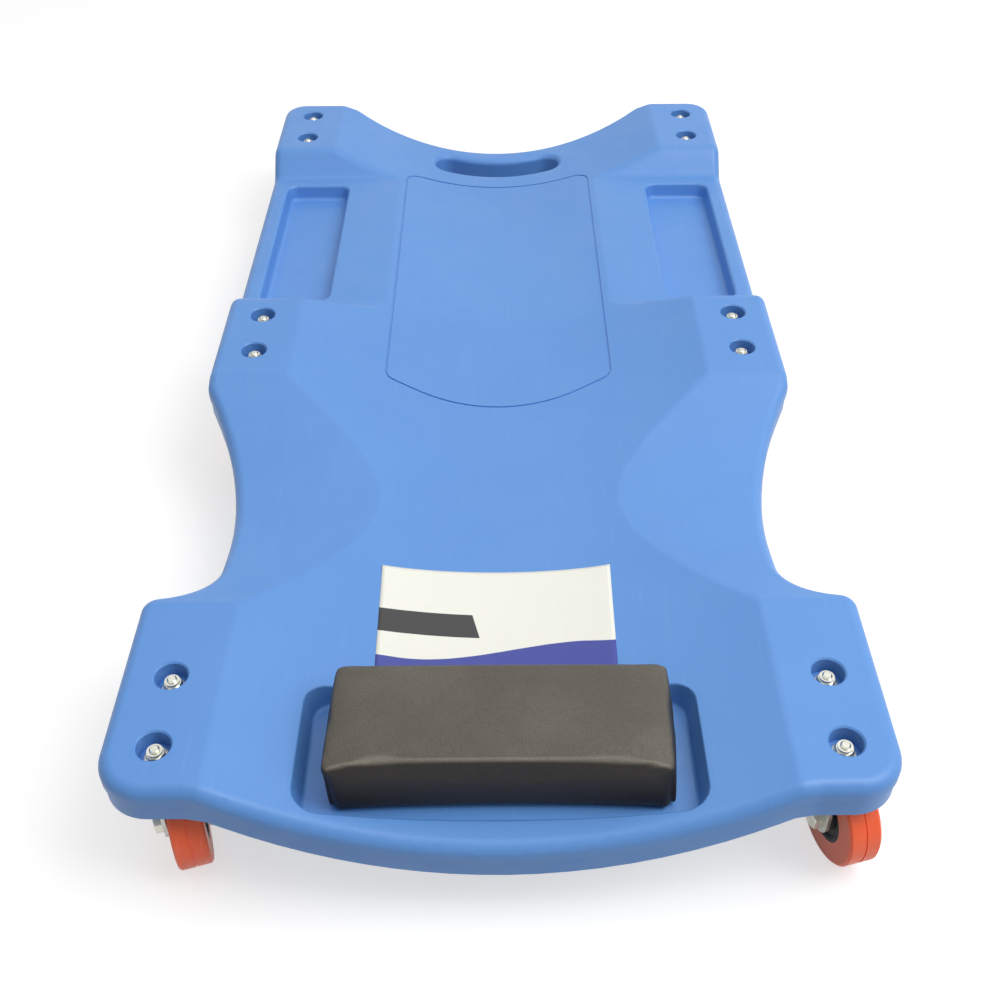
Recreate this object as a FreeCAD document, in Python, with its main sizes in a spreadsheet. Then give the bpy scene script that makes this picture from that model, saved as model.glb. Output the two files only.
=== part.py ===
import FreeCAD, Part
import os
import Sketcher
from FreeCAD import Placement, Rotation, Vector

# A mechanic's creeper: a blow-moulded plastic deck on six swivel casters, with a padded headrest.
# Frame: origin on the floor under the middle of the deck, +Z up, +Y towards the foot end, where
# the hand slot is. Lengths are in millimetres, angles in degrees.

doc = FreeCAD.newDocument("creeper")

# ---------------------------------------------------------------- driving dimensions
SIZES = {
    # deck, outside
    "deck_length": 900, "deck_width": 452, "pad_height": 96, "deck_thickness": 26,
    "crest_round": 14, "lip_round": 8, "seam_drop": 12.5, "seam_step": 0.9,
    # trough down the middle, between the shoulders of the raised pads
    "trough_depth": 32, "shoulder_inset": 62, "curved_share": 0.95,
    # raised pads and the lowered sides between them, along the length
    "head_pad_length": 159, "waist_drop": 23.5, "mid_pad_near": -46, "mid_pad_far": 64,
    "land_near": 83, "land_drop": 21, "land_round": 9, "land_inset": 131, "foot_pad_length": 109,
    # outline seen from above
    "nose_depth": 16.7, "nose_inset": 50, "nose_share": 0.9, "nose_corner_round": 24,
    "head_corner_round": 29, "head_back_length": 165, "head_back_round": 12,
    "waist_inset": 40.5, "waist_entry": 175, "waist_entry_round": 38,
    "waist_turn_at": -137, "waist_round": 365, "mid_corner_at": -55, "mid_corner_round": 15,
    "foot_corner_round": 22, "foot_inner_round": 14, "foot_hollow": 50, "foot_hollow_half": 151,
    # hand slot
    "slot_inset": 89, "slot_width": 31.5, "slot_bow": 180, "slot_half": 48, "slot_round": 6,
    # tool trays
    "tray_inset": 17, "tray_width": 61, "tray_near": 92, "tray_end": 147, "tray_depth": 14.5,
    "tray_draft": 9, "tray_corner": 8, "tray_lip_round": 3, "tray_floor_round": 4,
    # groove that frames the middle of the trough
    "panel_half": 92, "panel_near": -19.5, "panel_near_bow": 30.5, "panel_inset": 117.5,
    "panel_far_bow": 13.5, "panel_corner": 12, "panel_share": 0.75, "groove_run": 1.8,
    "groove_sink": 1,
    # headrest and its seat in the deck
    "rest_width": 194, "rest_depth": 73, "rest_height": 44, "rest_inset": 62.5, "rest_sink": 2,
    "seat_side_gap": 16.5, "seat_near_gap": 6, "seat_far_gap": 5, "seat_draft": 12,
    "seat_corner": 12, "seat_lip_round": 1.5, "seat_floor_round": 2.5,
    "cover_skin": 1.2, "cover_round": 7, "board_thickness": 6,
    "rest_screw_half": 60, "rest_screw_shank": 2.4, "rest_screw_bite": 5, "rest_screw_head": 4.6,
    "rest_screw_head_height": 2.4, "rest_screw_wall": 16, "rest_washer": 8, "rest_washer_gap": 1,
    # caster places and the screws that hold them
    "caster_inset": 31, "head_caster": 74, "mid_caster": 12, "foot_caster": 56,
    "bolt_spacing": 51, "bolt_shank": 3, "bolt_clearance": 0.3, "bolt_head": 5.8,
    "bolt_head_height": 2.9, "bolt_bevel": 0.8, "well_size": 10, "well_depth": 12, "well_rim": 1,
    "washer_size": 7.2, "washer_thickness": 1.2, "nut_flats": 10, "nut_height": 4.6,
    "collar_size": 4.5, "collar_height": 1.8, "bolt_stub": 1.6, "nut_turn": 17,
    # swivel caster
    "plate_drop": 20, "plate_thickness": 2.2, "plate_width": 46, "plate_length": 76,
    "plate_corner": 7, "plate_seat_gap": 2, "wheel_clearance": 3, "fork_clearance": 1.3,
    "wheel_size": 31.75, "wheel_trail": 27.7, "tyre_width": 20, "tyre_bore": 17.5,
    "tyre_chamfer": 1.4, "groove_width": 1.2, "groove_depth": 0.5, "hub_half": 11.6,
    "hub_size": 8.5, "core_rim": 2.2, "core_dish": 1.6, "sleeve_size": 5, "axle_size": 4,
    "running_gap": 0.05, "fork_half": 14.2, "fork_sheet": 2.2, "fork_bend": 4.5,
    "bearing_height": 3.6, "crown_size": 18.5, "leg_end": 10.5, "leg_front": 15, "leg_back": 29,
    "leg_shoulder": 9, "king_size": 4, "king_head": 7, "king_head_height": 1.4,
    "race_inner": 11, "race_outer": 17, "race_gap": 0.05, "cup_size": 9.4, "cup_height": 2.4,
    "clench_size": 7, "clench_height": 2.8, "axle_flats": 13, "axle_head_height": 5.3,
    "axle_nut_height": 7, "axle_stub": 1.5,
    # how each caster happens to trail at rest, turned from straight back towards the head end
    "head_left_turn": 17, "head_right_turn": 15, "mid_left_turn": -15, "mid_right_turn": 9,
    "foot_left_turn": 24, "foot_right_turn": -12,
}

dims = doc.addObject("Spreadsheet::Sheet", "Dims")
for row, (alias, size) in enumerate(SIZES.items(), start=1):
    dims.set(f"A{row}", alias.replace("_", " "))
    dims.set(f"B{row}", str(size))
    dims.setAlias(f"B{row}", alias)
trial = doc.addObject("Spreadsheet::Sheet", "Trial")
doc.recompute()


def formula(text):
    """A formula written with the sheet's aliases, in the form that FreeCAD binds."""
    words = []
    for char in str(text):
        letter = char.isalnum() or char == "_"
        if words and letter and (words[-1][-1].isalnum() or words[-1][-1] == "_"):
            words[-1] += char
        else:
            words.append(char)
    return "".join(f"Dims.{word}" if word in SIZES else word for word in words)


def worth(text):
    """What a formula comes to now, worked out by a spare sheet."""
    trial.set("A1", f"=1.0 * ({formula(text)})")
    trial.recompute()
    return float(trial.get("A1"))


def bind(obj, settings):
    """Binds properties to formulas: {"Height": "rest_height - 2"}."""
    for name, text in settings.items():
        obj.setExpression(name, formula(text))
    return obj


# ---------------------------------------------------------------- building blocks
CREASE = 0.03   # radians between two faces, above which their edge counts as sharp
LEVEL = 0.001   # upward part of a normal, below which a face counts as upright
PLANES = {
    "XY": Rotation(),
    "XZ": Rotation(Vector(1, 0, 0), 90),
    "YZ": Rotation(Vector(1, 1, 1), 120),
}
AXES = {"XY": Vector(0, 0, 1), "XZ": Vector(0, 1, 0), "YZ": Vector(1, 0, 0)}


def mirrored(corners):
    """Corners of the +X half, followed by their mirror images back to the start."""
    there = list(corners)
    back = [(f"-({across})", along, bend) for across, along, bend in reversed(there) if across != "0"]
    return there + back


def outline(name, plane, corners):
    """A closed sketch through the corners (across, along, radius), each held by formulas."""
    sketch = doc.addObject("Sketcher::SketchObject", name)
    sketch.Placement = Placement(Vector(), PLANES[plane])
    spots = [Vector(worth(across), worth(along), 0) for across, along, _ in corners]
    count = len(spots)
    for i in range(count):
        sketch.addGeometry(Part.LineSegment(spots[i], spots[(i + 1) % count]), False)
    for i in range(count):
        sketch.addConstraint(Sketcher.Constraint("Coincident", i, 2, (i + 1) % count, 1))
    for i, (across, along, _) in enumerate(corners):
        for kind, text, now in (("DistanceX", across, spots[i].x), ("DistanceY", along, spots[i].y)):
            number = sketch.addConstraint(Sketcher.Constraint(kind, -1, 1, i, 1, now))
            held = f"{kind[-1].lower()}{i}"
            sketch.renameConstraint(number, held)
            sketch.setExpression(f"Constraints.{held}", formula(text))
    sketch.recompute()
    for i, (_, _, bend) in enumerate(corners):
        if not bend:
            continue
        before = sketch.GeometryCount
        middle_in = (spots[i - 1] + spots[i]) * 0.5
        middle_out = (spots[i] + spots[(i + 1) % count]) * 0.5
        sketch.fillet((i - 1) % count, i, middle_in, middle_out, worth(bend), True, True)
        arcs = [g for g in range(before, sketch.GeometryCount)
                if isinstance(sketch.Geometry[g], Part.ArcOfCircle)]
        number = sketch.addConstraint(Sketcher.Constraint("Radius", arcs[0], worth(bend)))
        sketch.renameConstraint(number, f"bend{i}")
        sketch.setExpression(f"Constraints.bend{i}", formula(bend))
    sketch.recompute()
    return sketch


def prism(name, plane, corners, start, length, draft=None):
    """The outline carried along its own axis, from start, through length (both formulas)."""
    base = outline(f"{name}_outline", plane, corners)
    axis = AXES[plane]
    along = "xyz"[[axis.x, axis.y, axis.z].index(1)]
    base.setExpression(f"Placement.Base.{along}", formula(start))
    solid = doc.addObject("Part::Extrusion", name)
    solid.Base, solid.DirMode, solid.Dir, solid.Solid = base, "Custom", axis, True
    settings = {"LengthFwd": length}
    if draft:
        settings["TaperAngle"] = draft
    return bind(solid, settings)


def drum(name, size, start, length, x="0", y="0"):
    """An upright cylinder of radius size, its foot at the height start."""
    solid = doc.addObject("Part::Cylinder", name)
    return bind(solid, {"Radius": size, "Height": length, "Placement.Base.x": x,
                        "Placement.Base.y": y, "Placement.Base.z": start})


def cone(name, size, top_size, start, length, x="0", y="0"):
    """An upright cone frustum, of radius size at its foot and top_size above."""
    solid = doc.addObject("Part::Cone", name)
    return bind(solid, {"Radius1": size, "Radius2": top_size, "Height": length, "Placement.Base.x": x,
                        "Placement.Base.y": y, "Placement.Base.z": start})


def cross_drum(name, size, start, length, y, z):
    """A cylinder lying along X, from start."""
    solid = doc.addObject("Part::Cylinder", name)
    solid.Placement = Placement(Vector(), Rotation(Vector(0, 1, 0), 90))
    return bind(solid, {"Radius": size, "Height": length, "Placement.Base.x": start,
                        "Placement.Base.y": y, "Placement.Base.z": z})


def fuse(name, solids):
    joined = doc.addObject("Part::MultiFuse", name)
    joined.Shapes, joined.Refine = solids, True
    return joined


def common(name, solids):
    shared = doc.addObject("Part::MultiCommon", name)
    shared.Shapes, shared.Refine = solids, False
    return shared


def cut(name, base, tools):
    tool = tools[0] if len(tools) == 1 else fuse(f"{name}_tools", tools)
    left = doc.addObject("Part::Cut", name)
    left.Base, left.Tool, left.Refine = base, tool, False
    return left


# ---------------------------------------------------------------- deck
HALF = "deck_width / 2"
FOOT = "deck_length / 2"
HEAD = f"-{FOOT}"
BEYOND = 20   # how far a tool or a blank reaches past the deck
REACH = f"deck_length + {2 * BEYOND}"


def hollow(half, depth, share):
    """A hollow drawn as one rounded corner: how deep the corner lies, and the round on it."""
    lean = f"2 * {share} * atan(({depth}) / ({half}))"
    corner = f"({half}) * tan({lean})"
    return corner, f"({corner} - ({depth})) / (1 / cos({lean}) - 1)"


SHOULDER = f"({HALF} - shoulder_inset)"
dish_corner, dish_round = hollow(SHOULDER, "trough_depth", "curved_share")
trough = prism("Trough", "XZ", mirrored([
    ("0", f"pad_height - {dish_corner}", dish_round),
    (SHOULDER, "pad_height", None),
    (f"{HALF} + {BEYOND}", "pad_height", None),
    (f"{HALF} + {BEYOND}", f"-{BEYOND}", None),
]), f"-({REACH}) / 2", REACH)

HEAD_PAD_END = f"({HEAD} + head_pad_length)"
LAND = "pad_height - land_drop"
waist_corner, waist_bend = hollow(f"(mid_pad_near - {HEAD_PAD_END}) / 2", "waist_drop", "curved_share")
sides = prism("Sides", "YZ", [
    (f"-({REACH}) / 2", f"-{BEYOND}", None),
    (f"({REACH}) / 2", f"-{BEYOND}", None),
    (f"({REACH}) / 2", "pad_height", None),
    (f"{FOOT} - foot_pad_length", "pad_height", None),
    (f"{FOOT} - land_inset", LAND, "land_round"),
    ("land_near", LAND, "land_round"),
    ("mid_pad_far", "pad_height", None),
    ("mid_pad_near", "pad_height", None),
    (f"(mid_pad_near + {HEAD_PAD_END}) / 2", f"pad_height - {waist_corner}", waist_bend),
    (HEAD_PAD_END, "pad_height", None),
    (f"-({REACH}) / 2", "pad_height", None),
], f"-({HALF}) - {BEYOND}", f"deck_width + {2 * BEYOND}")


def form(name, drop):
    """The moulded top surface and all below it, lowered by drop."""
    return bind(common(name, [trough, sides]), {"Placement.Base.z": f"-({drop})"})


NOSE_HALF = f"({HALF} - nose_inset)"
PAD_NEAR = f"{HEAD} + nose_depth"
nose_corner, nose_bend = hollow(NOSE_HALF, "nose_depth", "nose_share")
foot_depth, foot_bend = hollow("foot_hollow_half", "foot_hollow", "curved_share")
PLAN = mirrored([
    ("0", f"{PAD_NEAR} - {nose_corner}", nose_bend),
    (NOSE_HALF, PAD_NEAR, "nose_corner_round"),
    (HALF, PAD_NEAR, "head_corner_round"),
    (HALF, f"{HEAD} + head_back_length", "head_back_round"),
    (f"{HALF} - waist_inset", f"{HEAD} + waist_entry", "waist_entry_round"),
    (f"{HALF} - waist_inset", "waist_turn_at", "waist_round"),
    (HALF, "mid_corner_at", "mid_corner_round"),
    (HALF, FOOT, "foot_corner_round"),
    ("foot_hollow_half", FOOT, "foot_inner_round"),
    ("0", f"{FOOT} - {foot_depth}", foot_bend),
])


def creases(shape):
    """Each sharp edge of a shape: its name, its middle, and the outward normals beside it."""
    beside = {}
    for face in shape.Faces:
        for edge in face.Edges:
            beside.setdefault(edge.hashCode(), []).append(face)
    for number, edge in enumerate(shape.Edges, start=1):
        spot = edge.valueAt((edge.FirstParameter + edge.LastParameter) / 2)
        normals = [face.normalAt(*face.Surface.parameter(spot)) for face in beside[edge.hashCode()]]
        if len(normals) == 2 and normals[0].getAngle(normals[1]) > CREASE:
            yield f"Edge{number}", spot, normals


def moulding(name, base):
    """A body that starts from a finished solid, so that rounds can follow."""
    body = doc.addObject("PartDesign::Body", name)
    body.BaseFeature = base
    doc.recompute()
    return body


def round_off(body, name, size, wanted):
    """Rounds the creased edges of a body that the test (spot, normals) wants."""
    before = body.Tip
    step = body.newObject("PartDesign::Fillet", name)
    step.Base = (before, [edge for edge, spot, normals in creases(before.Shape) if wanted(spot, normals)])
    bind(step, {"Radius": size})
    doc.recompute()
    return step


def is_wall(normal):
    return abs(normal.z) < LEVEL


def is_rim(normals, side):
    """Where a wall of the outline meets the top (side 1) or the underside (side -1)."""
    walls = [is_wall(normal) for normal in normals]
    return sum(walls) == 1 and normals[walls.index(False)].z * side > LEVEL


TALL = f"pad_height + {BEYOND}"
plan = prism("Plan", "XY", PLAN, "0", TALL)
slab = common("Slab", [cut("Sheet", form("TopForm", "0"), [form("LowForm", "deck_thickness")]), plan])
shell = moulding("Shell", slab)
round_off(shell, "Crests", "crest_round", lambda spot, n: n[0].z > LEVEL and n[1].z > LEVEL)
round_off(shell, "Lip", "lip_round", lambda spot, n: is_rim(n, 1))



def inset_prism(name, source, inset, length):
    """An upright prism whose outline lies a little inside that of another one."""
    inner = doc.addObject("Part::Offset2D", f"{name}_outline")
    inner.Source = doc.getObject(f"{source}_outline")
    bind(inner, {"Value": f"-({inset})"})
    solid = doc.addObject("Part::Extrusion", name)
    solid.Base, solid.DirMode, solid.Dir, solid.Solid = inner, "Custom", AXES["XY"], True
    return bind(solid, {"LengthFwd": length})


# The lower half of the moulding stands in a little from the parting line.
seam = cut("Seam", form("SeamForm", "seam_drop"), [inset_prism("InnerPlan", "Plan", "seam_step", TALL)])
stepped = cut("Stepped", shell, [seam])

# Hand slot: two arcs about one centre, closed by round ends.
SLOT_TURN = "asin(slot_half / slot_bow)"
SLOT_AT = f"({FOOT} - slot_inset)"
SLOT_CENTRE = f"({SLOT_AT} + slot_bow)"
SLOT_END = f"slot_half + slot_width / 2 * cos({SLOT_TURN})"
SLOT_LIFT = f"{SLOT_CENTRE} - slot_bow * cos({SLOT_TURN}) + slot_width / 2 * sin({SLOT_TURN})"
slot = prism("Slot", "XY", mirrored([
    ("0", f"{SLOT_CENTRE} - (slot_bow + slot_width / 2) / cos({SLOT_TURN})",
     "0.98 * (slot_bow + slot_width / 2)"),
    (f"{SLOT_END} + slot_width / 2 * sin({SLOT_TURN})",
     f"{SLOT_LIFT} - slot_width / 2 * cos({SLOT_TURN})", "0.49 * slot_width"),
    (f"{SLOT_END} - slot_width / 2 * sin({SLOT_TURN})",
     f"{SLOT_LIFT} + slot_width / 2 * cos({SLOT_TURN})", "0.49 * slot_width"),
    ("0", f"{SLOT_CENTRE} - (slot_bow - slot_width / 2) / cos({SLOT_TURN})",
     "0.98 * (slot_bow - slot_width / 2)"),
]), "0", TALL)

# Headrest seat: a flat-bottomed pocket whose walls lean outwards.
REST_AT = f"({HEAD} + rest_inset)"
REST_BASE = "(pad_height - trough_depth - rest_sink)"
SEAT_HALF = "(rest_width / 2 + seat_side_gap)"
SEAT_NEAR = f"({REST_AT} - rest_depth / 2 - seat_near_gap)"
SEAT_FAR = f"({REST_AT} + rest_depth / 2 + seat_far_gap)"
seat = prism("Seat", "XY", mirrored([
    (SEAT_HALF, SEAT_NEAR, "seat_corner"),
    (SEAT_HALF, SEAT_FAR, "seat_corner"),
]), REST_BASE, "pad_height", "seat_draft")

# Tool trays, one on each side, drafted from the floor up.
TRAY_LEAN = "tray_depth * tan(tray_draft)"
TRAY_OUTER = f"({HALF} - tray_inset)"
TRAY_INNER = f"({TRAY_OUTER} - tray_width)"
TRAY_FAR = f"({FOOT} - tray_end)"
trays = []
for side, sign in (("Left", "-"), ("Right", "")):
    trays.append(prism(f"{side}Tray", "XY", [
        (f"{sign}({TRAY_INNER} + {TRAY_LEAN})", f"tray_near + {TRAY_LEAN}", "tray_corner"),
        (f"{sign}({TRAY_OUTER} - {TRAY_LEAN})", f"tray_near + {TRAY_LEAN}", "tray_corner"),
        (f"{sign}({TRAY_OUTER} - {TRAY_LEAN})", f"{TRAY_FAR} - {TRAY_LEAN}", "tray_corner"),
        (f"{sign}({TRAY_INNER} + {TRAY_LEAN})", f"{TRAY_FAR} - {TRAY_LEAN}", "tray_corner"),
    ], f"{LAND} - tray_depth", "pad_height", "tray_draft"))

# A fine groove that frames the middle of the trough and follows its curve.
near_corner, near_bend = hollow("panel_half", "panel_near_bow", "panel_share")
far_corner, far_bend = hollow("panel_half", "panel_far_bow", "panel_share")
PANEL_FAR = f"({FOOT} - panel_inset)"
groove = cut("Groove", prism("Panel", "XY", mirrored([
    ("0", f"panel_near - {near_corner}", near_bend),
    ("panel_half", "panel_near", "panel_corner"),
    ("panel_half", PANEL_FAR, "panel_corner"),
    ("0", f"{PANEL_FAR} - {far_corner}", far_bend),
]), "0", "pad_height"), [inset_prism("PanelInside", "Panel", "groove_run", "pad_height"),
                         form("GrooveForm", "groove_sink")])

# Caster places: a seat for the plate, room for the turning fork and wheel, bolt holes and wells.
LINES = {"left": f"-({HALF} - caster_inset)", "right": f"({HALF} - caster_inset)"}
ROWS = {"head": f"({HEAD} + head_caster)", "mid": "mid_caster", "foot": f"({FOOT} - foot_caster)"}
PLACES = {f"{row}_{line}": (LINES[line], ROWS[row]) for row in ROWS for line in LINES}
SWEEP = "sqrt((wheel_trail + wheel_size)^2 + (tyre_width / 2)^2)"
PLATE_TOP = "(pad_height - plate_drop)"
PLATE_UNDER = f"({PLATE_TOP} - plate_thickness)"
CROWN_TOP = f"({PLATE_UNDER} - bearing_height)"
WELL_FLOOR = "pad_height - well_depth"
bolt_spots, caster_tools = [], []
for place, (x, y) in PLACES.items():
    hw, hl = "(plate_width / 2 + plate_seat_gap)", "(plate_length / 2 + plate_seat_gap)"
    caster_tools += [
        prism(f"{place}_plate_seat", "XY", [
            (f"{x} - {hw}", f"{y} - {hl}", "plate_corner + plate_seat_gap"),
            (f"{x} + {hw}", f"{y} - {hl}", "plate_corner + plate_seat_gap"),
            (f"{x} + {hw}", f"{y} + {hl}", "plate_corner + plate_seat_gap"),
            (f"{x} - {hw}", f"{y} + {hl}", "plate_corner + plate_seat_gap"),
        ], "wheel_size", f"{PLATE_TOP} - wheel_size"),
        drum(f"{place}_wheel_room", f"{SWEEP} + wheel_clearance", "0",
             "2 * wheel_size + wheel_clearance", x, y),
        drum(f"{place}_fork_room", "leg_back + 2 * wheel_clearance", "0",
             f"{CROWN_TOP} + fork_clearance", x, y),
    ]
    for end, sign in (("near", "-"), ("far", "+")):
        spot = (x, f"{y} {sign} bolt_spacing / 2")
        bolt_spots.append((f"{place}_{end}", *spot))
        caster_tools += [
            drum(f"{place}_{end}_well", "well_size", WELL_FLOOR, f"well_depth + {BEYOND}", *spot),
            cone(f"{place}_{end}_rim", "well_size", "well_size + well_rim", "pad_height - well_rim",
                 "well_rim", *spot),
            drum(f"{place}_{end}_hole", "bolt_shank + bolt_clearance", "wheel_size", WELL_FLOOR, *spot),
        ]

# Screw seats under the headrest.
SCREW_SEAT = f"({REST_BASE} - rest_screw_wall)"
rest_spots = [("left", "-rest_screw_half", REST_AT), ("right", "rest_screw_half", REST_AT)]
rest_tools = []
for side, x, y in rest_spots:
    rest_tools += [
        drum(f"rest_{side}_seat", "rest_washer + rest_washer_gap", "0", SCREW_SEAT, x, y),
        drum(f"rest_{side}_hole", "rest_screw_shank + bolt_clearance", "0", REST_BASE, x, y),
    ]

carved = cut("Carved", stepped, [slot, seat, groove] + trays)


NEARBY = 9         # how far outside its outline a recess may still have rim edges
ABOVE_FLOOR = 0.1  # edges higher than this over a recess floor belong to its rim


def in_box(spot, half_from, half_to, near, far):
    """Whether a spot lies between two distances from the middle line and two places along."""
    return worth(half_from) < abs(spot.x) < worth(half_to) and worth(near) < spot.y < worth(far)


def in_seat(spot):
    return in_box(spot, "-1", f"{SEAT_HALF} + {NEARBY}", f"{SEAT_NEAR} - {NEARBY}", f"{SEAT_FAR} + {NEARBY}")


def in_tray(spot):
    return in_box(spot, f"{TRAY_INNER} - {NEARBY}", f"{TRAY_OUTER} + {NEARBY}",
                  f"tray_near - {NEARBY}", f"{TRAY_FAR} + {NEARBY}")


def in_slot(spot):
    return in_box(spot, "-1", "slot_half + slot_width", f"{SLOT_AT} - slot_width", f"{SLOT_AT} + slot_width")


doc.recompute()
seat_level = worth(REST_BASE) + ABOVE_FLOOR
tray_level = worth(f"{LAND} - tray_depth") + ABOVE_FLOOR
shaped = moulding("Shaped", carved)
round_off(shaped, "SlotLip", "slot_round", lambda spot, n: is_rim(n, 1) and in_slot(spot))
round_off(shaped, "SeatLip", "seat_lip_round", lambda spot, n: in_seat(spot) and spot.z > seat_level)
round_off(shaped, "SeatFloor", "seat_floor_round", lambda spot, n: in_seat(spot))
round_off(shaped, "TrayLip", "tray_lip_round", lambda spot, n: in_tray(spot) and spot.z > tray_level)
round_off(shaped, "TrayFloor", "tray_floor_round", lambda spot, n: in_tray(spot))

deck = cut("Deck", shaped, caster_tools + rest_tools)
nodes = {"deck": deck}


def group(name, solids):
    """Several like pieces that share one node."""
    together = doc.addObject("Part::Compound", name)
    together.Links = solids
    nodes[name] = together


def turned(solid, turn):
    solid.Placement = Placement(solid.Placement.Base, Rotation(Vector(0, 0, 1), turn))
    return solid


def hexagon(name, flats, start, length, x="0", y="0"):
    """An upright six-sided prism with slightly rounded-off corners."""
    block = doc.addObject("Part::Prism", f"{name}_flats")
    block.Polygon = 6
    bind(block, {"Circumradius": f"({flats}) / sqrt(3)", "Height": length})
    cap = doc.addObject("Part::Cone", f"{name}_cap")
    bind(cap, {"Radius1": f"({flats}) * 0.5 + ({length}) * 1.4", "Radius2": f"({flats}) * 0.5",
               "Height": length})
    solid = common(name, [block, cap])
    return bind(solid, {"Placement.Base.x": x, "Placement.Base.y": y, "Placement.Base.z": start})


def ring(name, outer, inner, start, length, x="0", y="0"):
    return cut(name, drum(f"{name}_disc", outer, start, length, x, y),
               [drum(f"{name}_bore", inner, f"({start}) - 1", f"({length}) + 2", x, y)])


# ---------------------------------------------------------------- headrest
def rest_block(name, skin, bottom, top):
    """The headrest's rounded block, less a skin, between two heights above its base."""
    blocks = []
    for plane, size, run in (("XZ", "rest_width", "rest_depth"), ("YZ", "rest_depth", "rest_width")):
        middle = REST_AT if plane == "YZ" else "0"
        across = REST_AT if plane == "XZ" else "0"
        blocks.append(prism(f"{name}_{plane}", plane, [
            (f"{middle} - {size} / 2 + {skin}", f"{REST_BASE} + {bottom}", None),
            (f"{middle} + {size} / 2 - ({skin})", f"{REST_BASE} + {bottom}", None),
            (f"{middle} + {size} / 2 - ({skin})", f"{REST_BASE} + {top}", f"cover_round - ({skin})"),
            (f"{middle} - {size} / 2 + {skin}", f"{REST_BASE} + {top}", f"cover_round - ({skin})"),
        ], f"{across} - {run} / 2 + {skin}", f"{run} - 2 * ({skin})"))
    return common(name, blocks)


nodes["headrest_cover"] = cut("RestCover", rest_block("RestOuter", "0", "0", "rest_height"),
                              [rest_block("RestHollow", "cover_skin", "-1", "rest_height - cover_skin")])
nodes["headrest_foam"] = rest_block("RestFoam", "(cover_skin + running_gap)", "board_thickness",
                                    "rest_height - cover_skin - running_gap")
board_blank = doc.addObject("Part::Box", "BoardBlank")
bind(board_blank, {
    "Length": "rest_width - 2 * cover_skin - 2 * running_gap", "Height": "board_thickness",
    "Width": "rest_depth - 2 * cover_skin - 2 * running_gap", "Placement.Base.z": REST_BASE,
    "Placement.Base.x": "-(rest_width / 2 - cover_skin - running_gap)",
    "Placement.Base.y": f"{REST_AT} - (rest_depth / 2 - cover_skin - running_gap)"})
nodes["headrest_board"] = cut("RestBoard", board_blank, [
    drum(f"rest_{side}_pilot", "rest_screw_shank", REST_BASE, "rest_screw_bite", x, y)
    for side, x, y in rest_spots])
HEAD_TOP = f"({SCREW_SEAT} - washer_thickness)"
group("headrest_screws", [fuse(f"rest_{side}_screw", [
    drum(f"rest_{side}_head", "rest_screw_head", f"{HEAD_TOP} - rest_screw_head_height",
         "rest_screw_head_height", x, y),
    drum(f"rest_{side}_shank", "rest_screw_shank", HEAD_TOP,
         f"{REST_BASE} + rest_screw_bite - {HEAD_TOP}", x, y),
]) for side, x, y in rest_spots])
group("headrest_washers", [
    ring(f"rest_{side}_washer", "rest_washer", "rest_screw_shank + bolt_clearance", HEAD_TOP,
         "washer_thickness", x, y) for side, x, y in rest_spots])

# ---------------------------------------------------------------- screws that hold the casters
bolts, nuts, washers = [], [], []
NUT_FLOOR = f"({WELL_FLOOR} + washer_thickness)"
COLLAR_FLOOR = f"({NUT_FLOOR} + nut_height)"
BEVEL_FLOOR = f"({COLLAR_FLOOR} + collar_height + bolt_stub - bolt_bevel)"
for number, (spot, x, y) in enumerate(bolt_spots):
    bolts.append(fuse(f"{spot}_bolt", [
        drum(f"{spot}_head", "bolt_head", f"{PLATE_UNDER} - bolt_head_height", "bolt_head_height", x, y),
        drum(f"{spot}_shank", "bolt_shank", PLATE_UNDER, f"{BEVEL_FLOOR} - {PLATE_UNDER}", x, y),
        cone(f"{spot}_tip", "bolt_shank", "bolt_shank - bolt_bevel", BEVEL_FLOOR, "bolt_bevel", x, y)]))
    flats = turned(hexagon(f"{spot}_nut_flats", "nut_flats", NUT_FLOOR, "nut_height", x, y),
                   SIZES["nut_turn"] * number)
    collar = drum(f"{spot}_collar", "collar_size", COLLAR_FLOOR, "collar_height", x, y)
    nuts.append(cut(f"{spot}_nut", fuse(f"{spot}_nut_blank", [flats, collar]), [
        drum(f"{spot}_thread", "bolt_shank + running_gap", NUT_FLOOR, "nut_height + collar_height", x, y)]))
    washers.append(ring(f"{spot}_washer", "washer_size", "bolt_shank + bolt_clearance", WELL_FLOOR,
                        "washer_thickness", x, y))
group("caster_bolts", bolts)
group("caster_nuts", nuts)
group("caster_washers", washers)

# ---------------------------------------------------------------- casters
CROWN_UNDER = f"({CROWN_TOP} - fork_sheet)"
CUP_TOP = f"({CROWN_UNDER} - race_gap)"
CUP_UNDER = f"({CUP_TOP} - cup_height)"
LEG_INNER = "fork_half - fork_sheet"


def ridden(solid, place, x, y, turn):
    """Sets a piece of the swivelling fork, drawn about its own swivel axis, in its place."""
    solid.Placement = Placement(Vector(), Rotation(Vector(0, 0, 1), SIZES[turn]))
    return bind(solid, {"Placement.Base.x": x, "Placement.Base.y": y, "Placement.Rotation.Angle": turn})


def rolled(solid, x, y, turn):
    """Sets a piece of the wheel, drawn about its own centre, in its place."""
    solid.Placement = Placement(Vector(), Rotation(Vector(0, 0, 1), SIZES[turn]))
    return bind(solid, {"Placement.Base.x": f"{x} + wheel_trail * sin({turn})",
                        "Placement.Base.y": f"{y} - wheel_trail * cos({turn})",
                        "Placement.Base.z": "wheel_size", "Placement.Rotation.Angle": turn})


def spun(name, profile):
    """A round piece: a profile (along the axle, away from it) turned about the axle."""
    solid = doc.addObject("Part::Revolution", name)
    solid.Source = outline(f"{name}_profile", "XY", profile)
    solid.Axis, solid.Base, solid.Angle, solid.Solid = Vector(1, 0, 0), Vector(), 360, True
    return solid


def even(profile):
    """A profile's +X half, followed by its mirror image."""
    return profile + [(f"-({along})", away, bend) for along, away, bend in reversed(profile)]


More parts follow.
